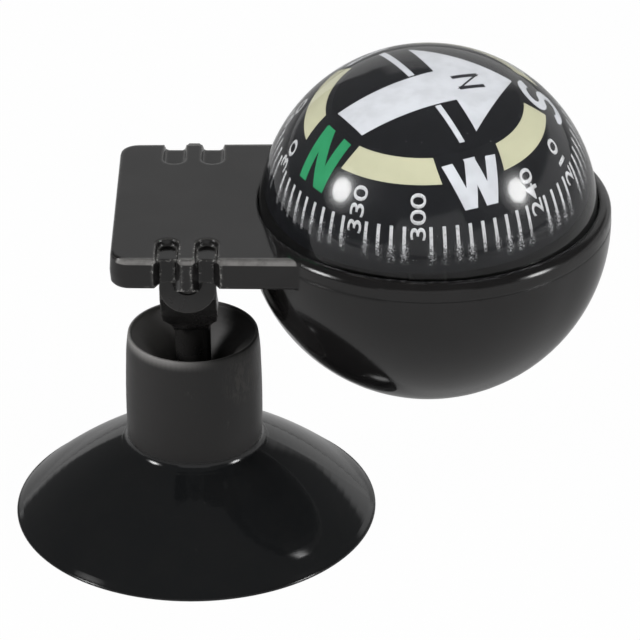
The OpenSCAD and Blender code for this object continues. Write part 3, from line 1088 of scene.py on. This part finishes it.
    def ticks(self) -> Piece:
        """Degree ticks, left out where a figure stands.

        Returns:
            The ticks as one piece.
        """
        height = math.radians(self.tick_high - self.tick_low) * self.card_r
        middle = (self.tick_high + self.tick_low) / 2
        model = self.plate("tick", self.tick_w, height)
        self.grid_cut(model, self.tick_field)
        marks = []
        for bearing in range(0, 360, self.tick_every):
            if bearing in self.figures:
                continue
            mark = BENCH.copy(model)
            BENCH.settle(mark, self.upright(bearing, middle))
            marks.append(mark)
        bpy.data.objects.remove(model)
        whole = BENCH.join(marks, "card_ticks")
        self.wrap(whole)
        return whole

    def figure(self, value: int) -> Piece:
        """One figure, read upwards.

        Args:
            value: the bearing that it gives.

        Returns:
            The figure's mark.
        """
        digits = []
        text = str(value)
        for place, digit in enumerate(text):
            BENCH.clear()
            bpy.ops.object.text_add()
            glyph = bpy.context.view_layer.objects.active
            glyph.data.body = digit
            glyph.data.align_x = "CENTER"
            glyph.data.size = self.figure_h / self.font_height * MM
            glyph.data.resolution_u = self.font_steps
            glyph.data.offset = self.figure_bold * MM
            glyph.location.x = (place - (len(text) - 1) / 2) * self.figure_step * MM
            glyph.location.y = -self.figure_h / 2 * MM
            glyph.scale.x = self.figure_stretch
            bpy.ops.object.convert(target="MESH")
            bpy.ops.object.transform_apply(location=True, rotation=True, scale=True)
            digits.append(glyph)
        mark = BENCH.join(digits, f"figure_{value}")
        BENCH.settle(mark, Matrix.Rotation(math.radians(90), 4, "Z"))
        self.grid_cut(mark, self.figure_field)
        BENCH.settle(mark, self.upright(value, self.figure_lat))
        self.wrap(mark)
        return mark

    def letter(self, letter: Letter, strokes: list[Piece]) -> Piece:
        """One letter of a wind.

        Args:
            letter: its name and place.
            strokes: its flat strokes.

        Returns:
            The letter's mark.
        """
        mark = BENCH.join(strokes, letter.name)
        self.grid_cut(mark, self.letter_field)
        BENCH.settle(mark, self.upright(letter.bearing, letter.lat))
        self.wrap(mark)
        return mark

    def winds(self) -> list[tuple[Piece, Ink]]:
        """Letters of the four winds.

        Returns:
            The letters' marks with their inks.
        """
        marks = []
        for letter in self.letters:
            strokes = [self.stroke(*stroke) for stroke in letter.strokes]
            marks.append((self.letter(letter, strokes), letter.ink))
        bends = [strip for bend in self.south_bends for strip in self.bend(*bend)]
        marks.append((self.letter(self.south, bends), self.south.ink))
        return marks

    def band(self, name: str, start: float, end: float, low: float, high: float) -> Piece:
        """Arc of the cream band between two letters.

        Args:
            name: its name.
            start: bearing where its upper edge begins.
            end: bearing where its upper edge ends.
            low: latitude of its lower edge.
            high: latitude of its upper edge.

        Returns:
            The arc.
        """
        strip = self.plate(name, 1, 1, round((end - start) / self.band_step))
        with BENCH.edit(strip) as mesh:
            for vertex in mesh.verts:
                along = vertex.co.x / MM + 0.5
                rise = vertex.co.y / MM + 0.5
                slant = self.band_slant * (1 - rise)
                bearing = start - slant + (end - start + 2 * slant) * along
                lon = math.radians(self.north_lon - bearing)
                lat = math.radians(low + (high - low) * rise)
                way = (math.sin(lon) * math.cos(lat), -math.cos(lon) * math.cos(lat))
                vertex.co = Vector((*way, math.sin(lat))) * self.card_r * MM
        self.wrap(strip)
        return strip

    def crown_mark(self, name: str, parts: list[Piece], layer: float = 0.0) -> Piece:
        """Mark on the crown, drawn with the arrow along +X.

        Args:
            name: its name.
            parts: its flat parts.
            layer: what its ink is thicker, where it covers another mark.

        Returns:
            The mark.
        """
        mark = BENCH.join(parts, name)
        self.grid_cut(mark, self.crown_field)
        turn = Matrix.Rotation(math.radians(self.north_lon + 90), 4, "Z")
        shift = Vector((*self.crown_shift, self.crown_h)) * MM
        BENCH.settle(mark, turn @ Matrix.Translation(shift))
        self.wrap(mark, crown=True, layer=layer)
        return mark

    def pair(self, name: str, size: Point, at: Point, cuts: int) -> list[Piece]:
        """Two equal strips, one on each side of the arrow's axis.

        Args:
            name: their name.
            size: width and height of one.
            at: middle of the one on the +Y side.
            cuts: number of cuts across.

        Returns:
            The strips.
        """
        strips = []
        for side in (1, -1):
            strip = self.plate(name, *size, cuts)
            BENCH.settle(strip, Matrix.Translation(Vector((at[0], side * at[1], 0)) * MM))
            strips.append(strip)
        return strips

    def arrow(self) -> Piece:
        """Arrow with its cross lines."""
        parts = [self.four_cornered(part) for part in (self.arrow_shaft, self.arrow_head)]
        return self.crown_mark("card_arrow", parts + self.pair("line", *self.cross_lines))

    def small_letter(self) -> Piece:
        """Small letter over the arrow's head."""
        parts = [*self.pair("bar", *self.small_bars), self.four_cornered(self.small_slant)]
        return self.crown_mark("card_small_letter", parts, self.second_layer)

    def build(self) -> None:
        """Builds, places and inks all marks."""
        self.mix_inks()
        marks = [(self.ticks(), Ink.WHITE)]
        marks += [(self.figure(value), Ink.WHITE) for value in self.figures]
        marks += self.winds()
        marks += [(self.band(f"card_band_{name}", *ends), Ink.CREAM) for name, *ends in self.bands]
        marks += [(self.arrow(), Ink.SILVER), (self.small_letter(), Ink.BLACK)]
        for mark, ink in marks:
            BENCH.settle(mark, self.seat)
            finish_piece(mark, Body.CARD, self.inks[ink])


@dataclass
class Capsule:
    """Clear dome with the liquid that fills the capsule, and the pieces in it."""

    ball: Point = (28.8, 0.5)
    dome_z: float = 41.31
    dome_r: float = 20.63
    foot_z: float = 41.15
    step_z: float = 40.75
    step_r: float = 19.45
    bowl_z: float = 40.83
    inner_r: float = 18.51
    sides: int = 128
    rings: int = 96
    rim_slack: float = 0.002
    smooth_angle: float = 35.0

    def half_ball(
        self, name: str, radius: float, middle_z: float, cut_z: float, upper: bool
    ) -> Piece:
        """Part of a ball above or below a level, open there.

        Args:
            name: its name.
            radius: its radius in millimetres.
            middle_z: height of its middle in millimetres.
            cut_z: height of the level in millimetres.
            upper: whether the upper part stays.

        Returns:
            The open part.
        """
        BENCH.clear()
        bpy.ops.mesh.primitive_uv_sphere_add(
            segments=self.sides, ring_count=self.rings, radius=radius * MM
        )
        part = BENCH.added(name)
        BENCH.settle(part, Matrix.Translation(Vector((*self.ball, middle_z)) * MM))
        with BENCH.edit(part, whole=True):
            bpy.ops.mesh.bisect(
                plane_co=(0, 0, cut_z * MM),
                plane_no=(0, 0, 1),
                clear_inner=upper,
                clear_outer=not upper,
            )
        return part

    def build(self) -> Piece:
        """Models dome and liquid as one clear body that sits wet on the seal and the flange.

        The rim of the liquid's bowl lies against the flange and isn't joined to the foot.

        Returns:
            The clear body.
        """
        dome = self.half_ball("dome", self.dome_r, self.dome_z, self.foot_z, upper=True)
        pool = self.half_ball("pool", self.inner_r, self.bowl_z, self.step_z, upper=False)
        BENCH.clear()
        bpy.ops.mesh.primitive_cylinder_add(
            vertices=self.sides,
            radius=self.step_r * MM,
            depth=(self.foot_z - self.step_z) * MM,
            end_fill_type="NOTHING",
        )
        step = BENCH.added("step")
        middle_z = (self.foot_z + self.step_z) / 2
        BENCH.settle(step, Matrix.Translation(Vector((*self.ball, middle_z)) * MM))
        body = BENCH.join([dome, step, pool], "dome_with_liquid")
        with BENCH.edit(body) as mesh:
            bpy.ops.mesh.select_mode(type="VERT")
            for vertex in mesh.verts:
                vertex.select_set(abs(vertex.co.z / MM - self.foot_z) < self.rim_slack)
            mesh.select_flush_mode()
            bmesh.update_edit_mesh(body.data)
            bpy.ops.mesh.bridge_edge_loops()
        with BENCH.edit(body, whole=True):
            bpy.ops.mesh.normals_make_consistent(inside=False)
        BENCH.take(body)
        bpy.ops.object.shade_smooth_by_angle(angle=math.radians(self.smooth_angle))
        return body

    def dress(self, body: Piece, frame: dict) -> None:
        """Gives the clear body and the hidden pieces their finishes.

        Args:
            body: the clear body.
            frame: the loaded frame.
        """
        finish_piece(body, Body.BALL, FilledClear().make())
        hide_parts("clear_dome")
        dull = PlainMoulding("dull_black", (0.006, 0.006, 0.006), 0.45, 0.06).make()
        rubber = PlainMoulding("seal_rubber", (0.008, 0.008, 0.008), 0.6, 0.06).make()
        for node, material in (
            ("capsule_base", dull),
            ("dome_seal", rubber),
            ("plug_gasket", rubber),
            ("filling_plug", BareMetal("turned_brass", (0.6, 0.42, 0.16)).make()),
            ("pivot_post", dull),
            ("pivot_needle", BareMetal("needle_steel", (0.6, 0.6, 0.62), 0.2).make()),
            ("card_float", dull),
            ("jewel_cup", PlainMoulding("jewel", (0.4, 0.03, 0.06), 0.1).make()),
            ("magnet_left", BareMetal("magnet_steel", (0.22, 0.22, 0.24), 0.4).make()),
            ("magnet_right", BareMetal("magnet_steel_too", (0.21, 0.21, 0.23), 0.42).make()),
            ("compass_card", CardBlack().make()),
        ):
            dress_node(frame, node, material)


@dataclass
class Mouldings:
    """Holder, fork and suction cup."""

    fork_colour: Colour = (0.0155, 0.0148, 0.0145)
    fork_shine: float = 0.22

    def dress(self, frame: dict) -> None:
        """Gives the mouldings their finishes.

        Args:
            frame: the loaded frame.
        """
        fork = MouldedPlastic("fork_black", self.fork_colour, shine=self.fork_shine)
        for node, finish in (
            ("holder", HolderPlastic()),
            ("fork_stem", fork),
            ("suction_cup", SoftVinyl()),
        ):
            dress_node(frame, node, finish.make())


# --- studio ---


@dataclass
class Studio:
    """Floor, lamps, surroundings and camera."""

    aim: Spot = (15.63, 0.0, 26.662)
    azimuth: float = 0.693
    elevation: float = 29.355
    distance: float = 558.572
    roll: float = -0.286
    lens: float = 255.88
    sensor: float = 36.0
    clip: Span = (0.01, 20.0)
    lamps: tuple[tuple[str, Spot], ...] = (
        ("lamp_left", (-801, -289, 446)),
        ("lamp_right", (862, -285, 432)),
    )
    lamps_aim: Spot = (28.8, 0, 45)
    lamp_rings: tuple[tuple[int, float], ...] = (
        (195, 1.95), (240, 2.1), (300, 1.1), (360, 0.75), (420, 0.45), (480, 0.3)
    )
    floor_size: float = 6.0
    floor_colour: Colour = (0.66, 0.66, 0.66)
    floor_seen: float = 0.985
    floor_shine: float = 0.1
    overhead: Colour = (0.1, 0.1, 0.1)
    round_about: Colour = (0.5, 0.5, 0.5)
    room_shine: float = 0.2
    board_middle: float = 0.12
    board_side: Span = (0.3, 0.4)
    board_top: Span = (0.56, 0.64)
    board_strength: float = 0.78
    skyline: Span = (0.38, 0.46)
    skyline_lean: float = 0.16
    skyline_corner: Span = (0.32, 0.5)
    skyline_drop: float = 0.28

    def lamp(self, name: str, place: Spot) -> None:
        """Adds a soft lamp, a bright middle that fades outwards.

        Args:
            name: its name.
            place: its place in millimetres.
        """
        for size, power in self.lamp_rings:
            data = bpy.data.lights.new(name, "AREA")
            data.shape = "DISK"
            data.size = size * MM
            data.energy = power
            lamp = bpy.data.objects.new(f"{name}_{size}", data)
            bpy.context.scene.collection.objects.link(lamp)
            lamp.location = Vector(place) * MM
            way = Vector(self.lamps_aim) * MM - lamp.location
            lamp.rotation_euler = way.to_track_quat("-Z", "Y").to_euler()

    def floor(self) -> None:
        """Adds the pale floor, white where the eye or glass looks at it."""
        BENCH.clear()
        bpy.ops.mesh.primitive_plane_add(size=self.floor_size)
        floor = BENCH.added("studio_floor")
        with BENCH.edit(floor, whole=True):
            bpy.ops.mesh.subdivide(number_cuts=3)
        g = Graph("pale_floor")
        matt = g.node("ShaderNodeBsdfDiffuse", {}, {"Color": self.floor_colour})
        bright = g.node("ShaderNodeEmission", {}, {"Color": WHITE, "Strength": 1.0})
        seen = (g.ray("Camera") + g.ray("Transmission")) * self.floor_seen
        seen = seen + g.ray("Glossy") * self.floor_shine
        floor.data.materials.append(g.close(g.either(seen, matt, bright)))

    def surroundings(self) -> None:
        """Sets the room: pale round about, dark overhead, a pale board behind the object.

        It is white where the eye or glass looks at it.
        """
        world = bpy.data.worlds.new("pale_room")
        bpy.context.scene.world = world
        g = Graph("pale_room", world)
        way = g.node("ShaderNodeTexCoord", {}, {}, "Generated")
        across, along, rise = (g.axis(way, name) for name in "XYZ")
        board = 1.0 - abs(across - self.board_middle).smooth(*self.board_side)
        board = board * (1.0 - rise.smooth(*self.board_top)) * (along > 0.0)
        drop = abs(across).smooth(*self.skyline_corner) * self.skyline_drop
        height = rise - across * self.skyline_lean + drop
        low = 1.0 - height.smooth(*self.skyline) + board * self.board_strength
        low = low.clamp()
        colour = g.mix(low, self.overhead, self.round_about)
        room = g.node("ShaderNodeBackground", {}, {"Color": colour})
        white = g.node("ShaderNodeBackground", {}, {"Color": WHITE})
        seen = g.ray("Camera") + g.ray("Transmission") + g.ray("Glossy") * low * self.room_shine
        g.close(g.either(seen.clamp(), room, white), "ShaderNodeOutputWorld")

    def camera(self) -> None:
        """Sets up the camera at the photograph's view."""
        az, el, roll = (math.radians(a) for a in (self.azimuth, self.elevation, self.roll))
        back = Vector(
            (math.sin(az) * math.cos(el), -math.cos(az) * math.cos(el), math.sin(el))
        )
        level = (-back).cross(Vector((0, 0, 1))).normalized()
        rise = level.cross(-back)
        right = math.cos(roll) * level + math.sin(roll) * rise
        up = math.cos(roll) * rise - math.sin(roll) * level
        data = bpy.data.cameras.new("camera")
        data.sensor_width = self.sensor
        data.lens = self.lens
        data.clip_start, data.clip_end = self.clip
        camera = bpy.data.objects.new("camera", data)
        bpy.context.scene.collection.objects.link(camera)
        place = Vector(self.aim) * MM + back * self.distance * MM
        turn = Matrix((right, up, back)).transposed().to_4x4()
        camera.matrix_world = Matrix.Translation(place) @ turn
        bpy.context.scene.camera = camera

    def build(self) -> None:
        """Builds the studio."""
        self.camera()
        self.floor()
        self.surroundings()
        for name, place in self.lamps:
            self.lamp(name, place)
        bpy.context.scene.view_settings.view_transform = "Standard"


def main() -> None:
    """Builds the compass and its studio."""
    logging.basicConfig(level=logging.INFO, format="%(name)s %(message)s")
    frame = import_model()
    Studio().build()
    Mouldings().dress(frame)
    capsule = Capsule()
    capsule.dress(capsule.build(), frame)
    CardPrint().build()


if __name__ == "__main__":
    main()
